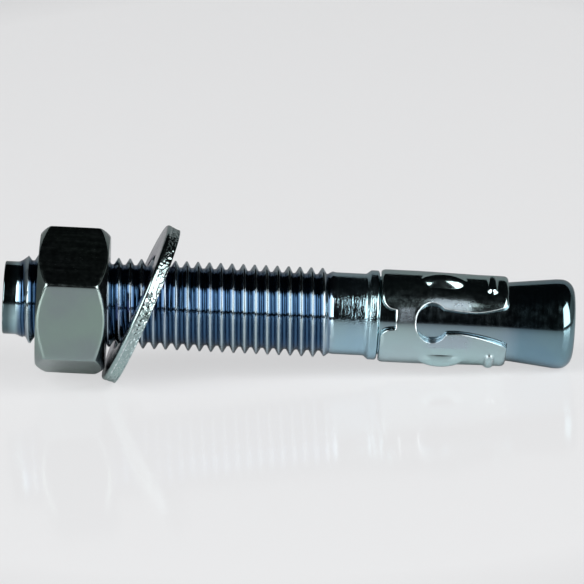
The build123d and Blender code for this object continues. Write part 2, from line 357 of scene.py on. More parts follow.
# columns are close together beside a corner, in degrees from it, and rows beside a face
from_corner = np.array([0, 0.25, 0.5, 0.8, 1.3, 2.2, 4, 7, 10.5, 14, 18, 22, 26, 30.0])
sixth = np.concatenate([-from_corner[:0:-1], from_corner[:-1]])
nut_angles = np.radians(np.concatenate([sixth + 60 * side for side in range(6)] + [[330.0]])) + NUT_TURN
edge_rows = np.concatenate([[0, 0.05, 0.12], np.arange(0.25, 2.6, 0.15)])
nut_rows = np.concatenate([edge_rows, [4, 6, 8, 10, 12], NUT_LENGTH - edge_rows[::-1]])


def nut_radius(depth, angle):
    """Six flats and a cone, joined by the formula above. depth counts from the nearer face."""
    facing = [np.cos(angle - NUT_TURN - radians(30 + 60 * k)) for k in range(6)]
    limits = [NUT_FLATS / 2 / np.maximum(cosine, 0.05) for cosine in facing]
    limits.append(NUT_FACE_RADIUS + depth / tan(NUT_BEVEL) + 0 * angle)
    return sum((NUT_FACE_RADIUS / limit) ** NUT_EDGE for limit in limits) ** (-1 / NUT_EDGE) * NUT_FACE_RADIUS


depth = np.minimum(nut_rows, NUT_LENGTH - nut_rows)
nut_radii = nut_radius(depth[:, None], nut_angles[None, :])
nut_outside = place(NUT_FRONT + nut_rows[:, None], nut_radii, nut_angles[None, :])
print(f"the nut is {NUT_LENGTH:.1f} mm long and {2 * nut_radii.max():.1f} mm over its corners")

# %% [markdown]
# The nut's own thread fills the bolt's grooves. It is the bolt's thread a little further out, cut off at the
# hole that was drilled before tapping and at the bottom of the tap's teeth. It shares the bolt's phase, so
# the two stay in mesh as the nut turns.

# %% The nut's thread and faces
NUT_DRILLED = 17.35 / 2
NUT_TAPPED = 10.0
NUT_SINK = 10.6  # the countersink's radius at the face
FLANK_PLAY = 0.14


def tapped_radius(station, angle):
    """The bolt's thread moved out by the play, between the drilled hole and the tap's depth, countersunk."""
    thread = np.clip(thread_radius(station, angle) + FLANK_PLAY, NUT_DRILLED, NUT_TAPPED)
    sink = NUT_SINK - np.minimum(station - NUT_FRONT, NUT_END - station)
    return np.maximum(thread, sink)


def ring(station, inner, outer, angles, steps=4):
    """A flat ring square to the bolt, between two radii that may change with the angle."""
    share = np.linspace(0, 1, steps)[:, None]
    radius = inner + (outer - inner) * share
    return grid(place(station, radius, angles[None, :]))


front_inner = tapped_radius(np.array(NUT_FRONT), nut_angles)
back_inner = tapped_radius(np.array(NUT_END), nut_angles)
face_radius = nut_radius(np.array(0.0), nut_angles)
corners, faces = join(
    [
        grid(nut_outside),
        helicoid(NUT_FRONT, NUT_END, nut_angles, tapped_radius),
        ring(NUT_FRONT, front_inner, face_radius, nut_angles),
        ring(NUT_END, back_inner, face_radius, nut_angles),
    ]
)
nut = weld("plated_nut", corners, faces, crease=25.0)

# %% [markdown]
# ## The washer
# A washer is punched out of sheet. The punch drags the edge over on one side, cuts a bright smooth band and
# then tears the rest of the way, which leaves a ragged band. The washer leans on the bolt, so its outline is
# turned about its own axis, and its side towards the nut has the edge that was dragged over.

# %% The washer's axis
washer_corners = read(frame["nodes"]["washer"].data, "vertices", "co", 3)
WASHER_MIDDLE = (washer_corners.max(0) + washer_corners.min(0)) / 2
# a disc's corners spread least along its axis: that is the last direction of their singular values
WASHER_AXIS = np.linalg.svd(washer_corners - WASHER_MIDDLE, full_matrices=False)[2][-1]
WASHER_AXIS *= np.sign(WASHER_AXIS @ ALONG)
WASHER_UP = np.cross(SIDE, WASHER_AXIS)
print(f"the washer leans {degrees(np.arccos(WASHER_AXIS @ ALONG)):.2f} degrees on the bolt")

# %% The washer's section
HALF_THICKNESS = 3.0 / 2
WASHER_HOLE = 22.5 / 2
WASHER_RIM = 36.94 / 2
TORN_FROM = -0.5
TORN_TO = 1.38
TORN_DROP = 0.12  # how far the torn band runs in on its way to the far face
TORN_ROWS = 11

washer_profile = rounded(
    [
        (0, WASHER_HOLE, 0),
        (-HALF_THICKNESS, WASHER_HOLE, 0.35),
        (-HALF_THICKNESS, WASHER_RIM, 0.55),
        (TORN_FROM, WASHER_RIM, 0),
        (HALF_THICKNESS, WASHER_RIM - TORN_DROP, 0.1),
        (HALF_THICKNESS, WASHER_HOLE + 0.1, 0.2),
        (0, WASHER_HOLE, 0),
    ],
    arc_steps=7,
)
first_torn = int(np.flatnonzero(washer_profile[:, 0] == TORN_FROM)[0]) + 1
torn_rows = slice(first_torn, first_torn + TORN_ROWS)
torn_places = np.linspace(TORN_FROM, TORN_TO, TORN_ROWS + 2)[1:-1]
torn_radii = np.interp(torn_places, *washer_profile[first_torn - 1:first_torn + 1].T)
washer_profile = np.insert(washer_profile, first_torn, np.column_stack([torn_places, torn_radii]), axis=0)
print(f"the washer's section has {len(washer_profile)} points, {TORN_ROWS} of them in the torn band")

# %% [markdown]
# The torn band is real relief, because its lumps are as large as a quarter of a millimetre and show as dark
# and bright specks against the light. Two sets of random numbers sink the rim there: lumps, drawn on a
# coarse grid and stretched over the fine one, and specks, drawn for each corner of the fine grid.

# %% The washer's surface, with its torn band
WASHER_COLUMNS = 720
LUMP_ROWS = 6
LUMP_COLUMNS = 240
LUMP_DEPTH = 0.24
SPECK_DEPTH = 0.05

tearing = np.random.default_rng(5)
lumps = tearing.random((LUMP_ROWS, LUMP_COLUMNS))
lumps = np.column_stack([lumps, lumps[:, 0]])  # the last column is the first again
down = np.linspace(0, LUMP_ROWS - 1, TORN_ROWS)
lumps = np.array([np.interp(down, range(LUMP_ROWS), column) for column in lumps.T]).T
around = np.linspace(0, LUMP_COLUMNS, WASHER_COLUMNS + 1)
lumps = np.array([np.interp(around, range(LUMP_COLUMNS + 1), row) for row in lumps])
specks = tearing.random(lumps.shape)
pits = np.zeros((len(washer_profile), WASHER_COLUMNS + 1))
pits[torn_rows] = LUMP_DEPTH * lumps + SPECK_DEPTH * specks
pits[:, -1] = pits[:, 0]

# WASHER_MIDDLE + through * WASHER_AXIS + (radius - pit) * (cos(angle) * SIDE + sin(angle) * WASHER_UP)
washer_angles = np.linspace(0, 2 * pi, WASHER_COLUMNS + 1)
radii = (washer_profile[:, 1:] - pits)[..., None]
spread = np.cos(washer_angles)[None, :, None] * SIDE + np.sin(washer_angles)[None, :, None] * WASHER_UP
points = WASHER_MIDDLE + MM * (washer_profile[:, None, :1] * WASHER_AXIS + radii * spread)
washer = weld("punched_washer", *grid(points), crease=50.0)

# %% [markdown]
# ## The clip
# The clip is stamped flat from strip and rolled round the neck. Flat, it has three pads side by side, joined
# by narrow bridges. Between two pads there is a notch at the collar's end and a slot shaped like a keyhole
# at the other. The edge of a pad is one line of distances from the middle of the slot: round the pad's
# corner, along the notch, along the bridge, round the keyhole and down the slot as it flares. Each stretch
# is a formula. Between its two edges, a pad is a grid whose middle columns run straight along the bolt.

# %% The edge of a pad
CLIP_LENGTH = CLIP_END - CLIP_START
CLIP_WALL = 1.5
CLIP_INNER = NECK + 0.08
CLIP_OUTER = CLIP_INNER + CLIP_WALL
PAD_PITCH = 124.0
FIRST_SLOT = 7.0
CORNER_LENGTH = 2.9
NOTCH_DEPTH = 3.3
KEYHOLE_MIDDLE = 11.4
KEYHOLE_HALF_LENGTH = 3.6
KEYHOLE_HALF_ANGLE = 26.3
OPENING_POWER = 1.7
END_CORNER = 0.9
END_FLARE = 1.2  # how much the slot still opens along the last corner, in degrees
BRIDGE_ROWS = 9


def keyhole_station(angle):
    """The end of the bridge: the near side of an ellipse that is KEYHOLE_HALF_ANGLE high."""
    return KEYHOLE_MIDDLE - KEYHOLE_HALF_LENGTH * np.sqrt(1 - (angle / KEYHOLE_HALF_ANGLE) ** 2)


def pad_edge(notch, corner, narrowest, narrowest_at, at_cusp, at_end):
    """Stations and distances in degrees from the slot's middle, from the collar's end to the free end.

    The corner is a quarter ellipse, the keyhole part of an ellipse, and the slot is a parabola that closes to
    its narrowest place and a power curve that opens to the free end, whose corner is a quarter circle.
    """
    t = np.linspace(0, pi / 2, 9)
    corner_station = CORNER_LENGTH * (1 - np.cos(t))
    corner_angle = notch + corner * (1 - np.sin(t))
    bridge_station = np.linspace(NOTCH_DEPTH, keyhole_station(notch), BRIDGE_ROWS)
    cusp = np.arcsin(at_cusp / KEYHOLE_HALF_ANGLE)
    t = np.linspace(np.arcsin(notch / KEYHOLE_HALF_ANGLE), pi - cusp, 24)[1:]
    hole_station = KEYHOLE_MIDDLE - KEYHOLE_HALF_LENGTH * np.cos(t)
    hole_angle = KEYHOLE_HALF_ANGLE * np.sin(t)
    slot = np.linspace(hole_station[-1], CLIP_LENGTH - END_CORNER, 34)[1:]
    to_narrowest = (narrowest_at - slot) / (narrowest_at - hole_station[-1])
    closing = narrowest + (at_cusp - narrowest) * to_narrowest**2
    share = np.clip((slot - narrowest_at) / (CLIP_LENGTH - narrowest_at), 0, 1)
    opening = narrowest + (at_end - narrowest) * share**OPENING_POWER
    slot_angle = np.where(slot < narrowest_at, closing, opening)
    t = np.linspace(0, pi / 2, 5)[1:]
    end_station = CLIP_LENGTH - END_CORNER * (1 - np.sin(t))
    end_angle = slot_angle[-1] + END_FLARE + degrees(END_CORNER / CLIP_OUTER) * (1 - np.cos(t))
    station = np.concatenate([corner_station, bridge_station, hole_station, slot, end_station])
    bridge_angle = np.full(BRIDGE_ROWS, notch)
    angle = np.concatenate([corner_angle, bridge_angle, hole_angle, slot_angle, end_angle])
    return station, angle


lower_edge = pad_edge(notch=15.0, corner=24.0, narrowest=15.9, narrowest_at=20.5, at_cusp=19.0, at_end=26.5)
upper_edge = pad_edge(notch=10.0, corner=13.0, narrowest=12.4, narrowest_at=16.5, at_cusp=13.6, at_end=29.0)
print(f"a pad's edge has {len(lower_edge[0])} points")

# %% [markdown]
# Press tools also raise a long bump in the middle of each pad, which bites into the concrete, and a small
# pip near the free end. The bump has a crisp outline: it is an arch along the bolt times an arch across it,
# over an outline that keeps its width almost to its ends. The pad itself thins a little towards its free
# end, except at the pip, and the outer edges at both its ends are round.

# %% Bumps, pips, the taper and the round ends as heights over the pad
BUMP_HEIGHT = 1.35
BUMP_LENGTH = 10.3
BUMP_WIDTH = 4.9
BUMP_STATION = 13.7
BUMP_ENDS = 5  # the larger this power is, the longer the bump keeps its width
BUMP_STEP = 0.05
BUMP_STEP_WIDTH = 0.12
PIP_STATION = 24.35
PIP_LENGTH = 2.3
PIP_WIDTH = 6.7
PIP_HEIGHT = 0.45
PIP_FLANK = 0.5
TAPER_START = 8.0
TAPER_LENGTH = 14.0
TAPER_DROP = 0.28
TAPER_CLEAR = 1.5  # how far inside the pip's outline the taper would be gone
END_ROUND = 1.0
END_DROP = 0.7
END_STEEPNESS = 0.98


def pad_height(station, from_middle):
    """How far the pad's outside stands over its plain radius; from_middle is in degrees across the pad."""
    across = np.radians(from_middle) * CLIP_OUTER
    share = np.clip(2 * (station - BUMP_STATION) / BUMP_LENGTH, -1, 1)
    half_width = BUMP_WIDTH / 2 * (1 - abs(share) ** BUMP_ENDS) + 0.01
    dome = np.clip(1 - (across / half_width) ** 2, 0, 1)
    step = np.clip((half_width - abs(across)) / BUMP_STEP_WIDTH, 0, 1)
    bump = (1 - share**2) * ((BUMP_HEIGHT - BUMP_STEP) * dome + BUMP_STEP * step)
    # the pip's outline is a slot, and its flank rises as a quarter sine
    beyond = np.maximum(abs(across) - (PIP_WIDTH - PIP_LENGTH) / 2, 0)
    into_pip = PIP_LENGTH / 2 - np.hypot(beyond, station - PIP_STATION)
    pip = PIP_HEIGHT * np.sin(np.clip(into_pip / PIP_FLANK, 0, 1) * pi / 2)
    clear_of_pip = np.clip(1 - into_pip / TAPER_CLEAR, 0, 1) ** 2
    taper = TAPER_DROP * clear_of_pip * np.clip((station - TAPER_START) / TAPER_LENGTH, 0, 1)
    into = np.clip(1 - np.minimum(station, CLIP_LENGTH - station) / END_ROUND, 0, 1)
    end_round = END_ROUND * (1 - np.sqrt(1 - END_STEEPNESS * into**2)) * END_DROP
    return bump + pip - taper - end_round


print(f"the highest point of a bump is {pad_height(BUMP_STATION, 0.0):.2f} mm over the pad")

# %% [markdown]
# The seam of the rolled strip lies at the back, where a slot would be, so half a bridge ends on each side of
# it. The columns of a pad's core are closest where the bump's steep step is.

# %% Pads and bridges as flat grids of station and angle
STEP_COLUMNS = degrees(BUMP_WIDTH / 2 / CLIP_OUTER) + np.array([-0.9, -0.3, 0.3, 0.9])
HALF_CORE = np.concatenate([np.linspace(0, STEP_COLUMNS[0] - 1.2, 7), STEP_COLUMNS])
CORE = np.concatenate([np.linspace(-21, -16, 4), -HALF_CORE[:0:-1], HALF_CORE, np.linspace(16, 29, 7)])
MARGIN = np.array([0, 0.09, 0.22, 0.38, 0.55, 0.73, 0.88])[None, :]  # from the cut edge to the core
BRIDGE_LOW = -10.0
BRIDGE_HIGH = 15.0
SEAM_HALF_GAP = degrees(0.5 / CLIP_OUTER)


def pad(first_slot, last_slot):
    """A pad between two slots: margins that follow its edges, and a core of straight columns between them."""
    low_station, low = lower_edge[0], first_slot + lower_edge[1]
    high_station, high = upper_edge[0], last_slot - upper_edge[1]
    core_station = (low_station + high_station) / 2
    middle = (first_slot + last_slot) / 2
    core = middle + CORE
    margin = low[:, None] + (core[0] - low[:, None]) * MARGIN
    margin_station = low_station[:, None] + (core_station - low_station)[:, None] * MARGIN
    far_margin = (high[:, None] + (core[-1] - high[:, None]) * MARGIN)[:, ::-1]
    far_station = (high_station[:, None] + (core_station - high_station)[:, None] * MARGIN)[:, ::-1]
    station = np.concatenate([margin_station, np.repeat(core_station[:, None], len(core), 1), far_station], 1)
    angle = np.concatenate([margin, np.repeat(core[None, :], len(core_station), 0), far_margin], 1)
    return station, angle, angle - middle


def bridge(slot, low, high, columns):
    """A bridge, from the notch to the keyhole, between two distances from the slot's middle."""
    angle = np.linspace(low, high, columns)[None, :]
    share = np.linspace(0, 1, BRIDGE_ROWS)[:, None]
    station = NOTCH_DEPTH + (keyhole_station(angle) - NOTCH_DEPTH) * share
    angle = angle + 0 * station
    return station, slot + angle, angle


SECOND_SLOT = FIRST_SLOT + PAD_PITCH
SEAM = FIRST_SLOT + PAD_PITCH / 2 + 180
flat_grids = [
    pad(SEAM - 360, FIRST_SLOT),
    pad(FIRST_SLOT, SECOND_SLOT),
    pad(SECOND_SLOT, SEAM),
    bridge(FIRST_SLOT, BRIDGE_LOW, BRIDGE_HIGH, 15),
    bridge(SECOND_SLOT, BRIDGE_LOW, BRIDGE_HIGH, 15),
    bridge(SEAM, BRIDGE_LOW, -SEAM_HALF_GAP, 6),
    bridge(SEAM, SEAM_HALF_GAP, BRIDGE_HIGH, 8),
]
print("rows and columns of the flat grids:", [station.shape for station, _, _ in flat_grids])

# %% [markdown]
# The flat grids share the points where pads meet bridges, so their points are merged once, while they are
# flat. Every edge of the merged net that has a face on one side only is a cut edge, and a wall goes there
# from the outside to the inside. A Subdivision Surface modifier then rounds the cut edges, as stamping and
# plating do.


# %% The clip's shell
EDGE_DEPTH = 0.22  # a row of corners this far under each side keeps the round of the cut edges small


def merge_flat(grids):
    """One net of points (station, angle, from_middle) and faces, with shared points merged."""
    points, faces = join([grid(np.stack(values, -1)) for values in grids])
    thousandths = np.round(points[:, :2] * 1000).astype(int)
    _, keep, back = np.unique(thousandths, axis=0, return_index=True, return_inverse=True)
    return points[keep], back.ravel()[faces]


def border(faces):
    """The edges that only one face has, in that face's direction."""
    ways = np.concatenate([faces[:, [k, (k + 1) % 4]] for k in range(4)])
    key = np.sort(ways, axis=1) @ np.array([faces.max() + 1, 1])
    _, first, count = np.unique(key, return_index=True, return_counts=True)
    return ways[first[count == 1]]


net, net_faces = merge_flat(flat_grids)
rise = pad_height(net[:, 0], net[:, 2])
radii = [CLIP_OUTER + rise - depth for depth in (0, EDGE_DEPTH)]
radii += [CLIP_INNER + depth + np.maximum(rise, 0) for depth in (EDGE_DEPTH, 0)]
layers = [place(CLIP_START + net[:, 0], radius, np.radians(net[:, 1])) for radius in radii]
edges = border(net_faces)
ahead, behind = edges[:, 1], edges[:, 0]
walls = [
    np.stack([ahead, behind, behind + len(net), ahead + len(net)], -1) + level * len(net)
    for level in range(len(layers) - 1)
]
inside = net_faces[:, ::-1] + (len(layers) - 1) * len(net)
clip = weld("rolled_clip", np.concatenate(layers), np.concatenate([net_faces, *walls, inside]), crease=180.0)
smooth = clip.modifiers.new("round_edges", "SUBSURF")
smooth.levels = smooth.render_levels = 1

# %% [markdown]
# ## What each corner of a mesh knows
# Plating does not look the same everywhere. Edges are lightened, partly as wear and partly as a painted
# highlight; the thread's grooves, the nut's bore and the washer's faces are darkened as painted shade; the
# clip's pressed places are rough and take a painted mauve tint; and it is dull where the steel is rough. The
# meshes know where that is: so each corner gets a few numbers between 0 and 1, as attributes that the
# materials read.


# %% Attributes on the corners
def mark(piece, name, values):
    """Write one number a corner, kept between 0 and 1, under the given name."""
    layer = piece.data.attributes.new(name, "FLOAT", "POINT")
    each = np.broadcast_to(values, len(piece.data.vertices))
    layer.data.foreach_set("value", np.clip(each, 0, 1).astype(float))


def stations(piece):
    """The station, the radius and the angle in degrees of every corner."""
    corners = (read(piece.data, "vertices", "co", 3) - START) / MM
    across, high = corners @ SIDE, corners @ UP
    return corners @ ALONG, np.hypot(across, high), np.degrees(np.arctan2(high, across))


def sharpness(piece, full=0.3):
    """How far a corner stands out, from 0 to 1.

    It is the mean of normal . (corner - neighbour) / distance over its neighbours, as a share of full.
    """
    corners, normals = (read(piece.data, "vertices", name, 3) for name in ("co", "normal"))
    first, second = read(piece.data, "edges", "vertices", 2).T
    apart = corners[first] - corners[second]
    apart /= np.maximum(np.linalg.norm(apart, axis=1), 1e-9)[:, None]
    total, count = np.zeros(len(corners)), np.zeros(len(corners))
    for here, way in ((first, apart), (second, -apart)):
        np.add.at(total, here, (normals[here] * way).sum(1))
        np.add.at(count, here, 1)
    return np.clip(total / count / full, 0, 1)


def ease(values, start, end):
    """0 before start, 1 after end and t * t * (3 - 2 * t) between them; start may be the larger."""
    t = np.clip((values - start) / (end - start), 0, 1)
    return t * t * (3 - 2 * t)


# %% Marks on the bolt and the nut
station, radius, _ = stations(bolt)
threaded = ease(station, DOG_LENGTH, DOG_LENGTH + 1) * (station < THREAD_END - 1)
# the shank was left rough between the thread and the collar
shank = ease(station, THREAD_END - 1, THREAD_END + 1) * ease(station, COLLAR_END, COLLAR_START)
mark(bolt, "edge", sharpness(bolt) * (1 - 0.8 * threaded))
# painted shade: the thread's roots and the lower parts of its flanks are darkened
mark(bolt, "hollow", ease(radius, CREST - 0.5, ROOT + 0.1) * threaded)
mark(bolt, "rough", 0.9 * shank)
mark(bolt, "place", station / STUD_END)

station, radius, _ = stations(nut)
mark(nut, "edge", sharpness(nut))
# painted shade: the bore is darkened, from the countersink into the tapped thread
mark(nut, "hollow", ease(radius, NUT_SINK, NUT_TAPPED))
mark(nut, "rough", 0.0)
print(f"{threaded.mean():.0%} of the bolt's corners are on its thread")

# %% Marks on the washer and the clip
from_middle = (read(washer.data, "vertices", "co", 3) - WASHER_MIDDLE) / MM
through, radius = from_middle @ WASHER_AXIS, np.linalg.norm(from_middle, axis=1)
on_face = ease(abs(through), HALF_THICKNESS - 0.35, HALF_THICKNESS - 0.15)
torn = ease(through, TORN_FROM - 0.05, TORN_FROM + 0.15) * ease(through, HALF_THICKNESS, HALF_THICKNESS - 0.2)
mark(washer, "edge", sharpness(washer))
# painted shade: both flat faces, between the nut and the clip, are darkened, fading out 0.8 mm before the rim
mark(washer, "hollow", on_face * ease(radius, WASHER_RIM, WASHER_RIM - 0.8))
mark(washer, "rough", torn * ease(radius, 18.0, 18.2))

station, radius, angle = stations(clip)
station = station - CLIP_START
from_slot = (angle - FIRST_SLOT + PAD_PITCH / 2) % PAD_PITCH - PAD_PITCH / 2
# the plating is hazy where the sheet was pressed, beside the bumps and on the bridges: rough from the
# pressing, and tinted a darker blue-mauve as a painted reflection
beside_bump = ease(abs(abs(from_slot) - 24.0), 13.0, 7.0) * ease(abs(station - 15.0), 6.5, 3.0)
on_bridge = ease(abs(station - 5.6), 2.6, 1.2) * ease(abs(from_slot - 9.0), 13.0, 6.0)
mark(clip, "edge", sharpness(clip))
mark(clip, "hollow", 0.6 * beside_bump + 0.7 * on_bridge)
mark(clip, "rough", 0.6 * beside_bump + 0.5 * on_bridge)
print("marked", [layer.name for layer in clip.data.attributes if layer.data_type == "FLOAT"])

# %% [markdown]
# ## Bright zinc
# Zinc plate is a bright metal with a thin clear film over it. The film tints it, blue and violet where it is
# thin and a little green where it is thicker, in soft clouds. The steel under it is never quite smooth: it
# was turned or drawn, so there are fine lines along one direction, and specks where the bath left a grain.
# Each of these is a node group with its own inputs, and each material sets them for its own piece. Every
# height is in millimetres, because the bump that ends the chain is one millimetre high at 1.


# %% Helpers for node groups
def feed(tree, socket, source):
    """Give an input socket its value, or a link if the source is a socket too."""
    if isinstance(source, bpy.types.NodeSocket):
        tree.links.new(source, socket)
    else:
        socket.default_value = source


def add(tree, kind, inputs=(), **settings):
    """A new node with its settings, and with what its input sockets are fed, by name or number."""
    node = tree.nodes.new("ShaderNode" + kind)
    for name, value in settings.items():
        setattr(node, name, value)
    for name, source in dict(inputs).items():
        feed(tree, node.inputs[name], source)
    return node


def group(name, inputs, outputs):
    """An empty node group with named sockets: a colour is given as a tuple, a number as a float."""
    tree = bpy.data.node_groups.new(name, "ShaderNodeTree")
    for way, sockets in (("INPUT", inputs), ("OUTPUT", outputs)):
        for label, value in sockets.items():
            kind = "NodeSocketColor" if isinstance(value, tuple) else "NodeSocketFloat"
            tree.interface.new_socket(label, in_out=way, socket_type=kind).default_value = value
    return tree, tree.nodes.new("NodeGroupInput").outputs, tree.nodes.new("NodeGroupOutput").inputs


def scaled(tree, low, high, source):
    """A Map Range node that takes a source from low..high to 0..1."""
    return add(tree, "MapRange", {"Value": source, "From Min": low, "From Max": high}).outputs["Result"]


def blend(tree, factor, first, second):
    """A colour between two colours."""
    return add(tree, "Mix", {"Factor": factor, "A": first, "B": second}, data_type="RGBA").outputs["Result"]


def reckon(tree, operation, *sources):
    """A Math node on two or three numbers or sockets."""
    return add(tree, "Math", enumerate(sources), operation=operation).outputs["Value"]


# %% Clouds in the film
WHITE = (1.0, 1.0, 1.0, 1.0)
film, given, result = group(
    "zinc_film",
    {"Tint": WHITE, "Shade": WHITE, "Cloud scale": 60.0},
    {"Color": WHITE},
)
where = add(film, "TexCoord").outputs["Object"]
noise = {"Vector": where, "Scale": given["Cloud scale"], "Detail": 4.0, "Roughness": 0.55}
share = scaled(film, 0.36, 0.64, add(film, "TexNoise", noise).outputs["Fac"])
tints = {"Factor": 1.0, "A": given["Tint"], "B": given["Shade"]}
shaded = add(film, "Mix", tints, data_type="RGBA", blend_type="MULTIPLY").outputs["Result"]
feed(film, result["Color"], blend(film, share, given["Tint"], shaded))
print(f"{film.name}: {len(film.nodes)} nodes")

# %% Lines round the bolt or along it
lines, given, result = group(
    "fine_lines",
    {"Along": 1500.0, "Across": 40.0, "Height": 0.003},
    {"Height": 0.0, "Mask": 0.0},
)
where = add(lines, "TexCoord").outputs["Object"]
# turned by the bolt's slope, so that x runs along it
turn = (0.0, float(np.arcsin(ALONG[2])), 0.0)
turned = add(lines, "Mapping", {"Vector": where, "Rotation": turn}).outputs["Vector"]
scales = add(lines, "CombineXYZ", {"X": given["Along"], "Y": given["Across"], "Z": given["Across"]})
stretch = add(lines, "VectorMath", {0: turned, 1: scales.outputs["Vector"]}, operation="MULTIPLY")
noise = {"Vector": stretch.outputs["Vector"], "Scale": 1.0, "Detail": 3.0, "Roughness": 0.6}
streaks = add(lines, "TexNoise", noise).outputs["Fac"]
feed(lines, result["Height"], reckon(lines, "MULTIPLY", streaks, given["Height"]))
feed(lines, result["Mask"], scaled(lines, 0.35, 0.65, streaks))
print(f"{lines.name}: {len(lines.nodes)} nodes")

# %% Grain: fine everywhere, coarse on the rough marks
grain, given, result = group(
    "grain",
    {"Scale": 900.0, "Height": 0.002, "Torn": 0.0, "Torn scale": 1800.0, "Torn height": 0.1},
    {"Height": 0.0, "Mask": 0.0},
)
where = add(grain, "TexCoord").outputs["Object"]
noise = {"Vector": where, "Scale": given["Scale"], "Detail": 5.0}
fine = add(grain, "TexNoise", noise).outputs["Fac"]
noise = {"Vector": where, "Scale": given["Torn scale"], "Detail": 2.0, "Roughness": 0.6}
coarse = add(grain, "TexNoise", noise).outputs["Fac"]
lumps = reckon(grain, "MULTIPLY", reckon(grain, "MULTIPLY", given["Torn"], given["Torn height"]), coarse)
feed(grain, result["Height"], reckon(grain, "MULTIPLY_ADD", fine, given["Height"], lumps))
feed(grain, result["Mask"], scaled(grain, 0.3, 0.7, fine))
print(f"{grain.name}: {len(grain.nodes)} nodes")

# %% Edges lightened, partly as wear and partly as a painted highlight, broken up by the grain
wear_and_highlight, given, result = group("worn_edge", {"Edge": 0.0, "Grain": 0.5}, {"Mask": 0.0})
broken = reckon(wear_and_highlight, "MULTIPLY_ADD", given["Grain"], 0.7, 0.5)
shown = reckon(wear_and_highlight, "MULTIPLY", given["Edge"], broken)
feed(wear_and_highlight, result["Mask"], scaled(wear_and_highlight, 0.25, 0.75, shown))
print("node groups:", sorted(tree.name for tree in bpy.data.node_groups))


# %% The material that uses them
# edges are lightened towards this colour: partly wear, partly a painted highlight
WORN_AND_HIGHLIT_ZINC = (0.80, 0.86, 0.88)  # zinc that is worn bright
GRAIN_DULLING = 0.08
LINE_DULLING = 0.05


def opaque(colour):
    """A colour with its alpha."""
    return (*colour, 1.0)


def new_material(name):
    """A material, its node tree and its shader."""
    material = bpy.data.materials.new(name)
    material.use_nodes = True
    return material, material.node_tree, material.node_tree.nodes["Principled BSDF"]


def zone_ramp(tree, zones):
    """The colour along the bolt, from a stop at each (station, colour).

    A new ramp has a stop at each end already, so the first two zones are the bolt's two ends.
    """
    place_along = add(tree, "Attribute", attribute_name="place").outputs["Fac"]
    ramp = add(tree, "ValToRGB", {"Fac": place_along})
    stops = ramp.color_ramp.elements
    for number, (station, colour) in enumerate(zones):
        stop = stops[number] if number < 2 else stops.new(station / STUD_END)
        stop.position, stop.color = station / STUD_END, opaque(colour)
    return ramp.outputs["Color"]


def plated(name, tint, shade, hollow, smooth, hazy, line, fine, coarse, cloud=60.0, deeper=0.0):
    """A metal shader. tint and shade colour the film; the tint may be a list of zones along the bolt.

    The third colour is painted shade in the thread's roots, the nut's bore and the washer's faces, and a
    painted mauve tint on the clip's pressed places. smooth and hazy are the roughness of clean metal and of
    the rough marks.
    line is the scale along the bolt, the scale across it and the height; fine and coarse are each a scale and
    a height. On the rough marks the lines are higher by the factor deeper.
    """
    material, tree, shader = new_material(name)
    edge, shade_mask, rough = (
        add(tree, "Attribute", attribute_name=label).outputs["Fac"] for label in ("edge", "hollow", "rough")
    )
    base = zone_ramp(tree, tint) if isinstance(tint, list) else opaque(tint)
    values = {"Tint": base, "Shade": opaque(shade), "Cloud scale": cloud}
    tinted = add(tree, "Group", values, node_tree=film)
    values = dict(zip(("Along", "Across", "Height"), line))
    lined = add(tree, "Group", values, node_tree=lines)
    values = dict(zip(("Torn", "Scale", "Height", "Torn scale", "Torn height"), (rough, *fine, *coarse)))
    grained = add(tree, "Group", values, node_tree=grain)
    edge_lightening = add(tree, "Group", {"Edge": edge, "Grain": grained.outputs["Mask"]}, node_tree=wear_and_highlight)
    # painted shade: the colour goes darker where the corners are marked as shaded
    colour = blend(tree, shade_mask, tinted.outputs["Color"], opaque(hollow))
    # painted highlight and wear: the edges lighten towards the bright zinc
    colour = blend(tree, edge_lightening.outputs["Mask"], colour, opaque(WORN_AND_HIGHLIT_ZINC))
    shine = reckon(tree, "MULTIPLY_ADD", grained.outputs["Mask"], GRAIN_DULLING, smooth)
    shine = reckon(tree, "MULTIPLY_ADD", lined.outputs["Mask"], LINE_DULLING, shine)
    shine = reckon(tree, "MULTIPLY_ADD", rough, hazy - smooth, shine)
    gain = reckon(tree, "MULTIPLY_ADD", rough, deeper, 1.0)
    height = reckon(tree, "MULTIPLY", lined.outputs["Height"], gain)
    height = reckon(tree, "ADD", height, grained.outputs["Height"])
    relief = add(tree, "Bump", {"Strength": 1.0, "Distance": MM, "Height": height})
    feed(tree, shader.inputs["Metallic"], 1.0)
    feed(tree, shader.inputs["Base Color"], colour)
    feed(tree, shader.inputs["Roughness"], shine)
    feed(tree, shader.inputs["Normal"], relief.outputs["Normal"])
    return material


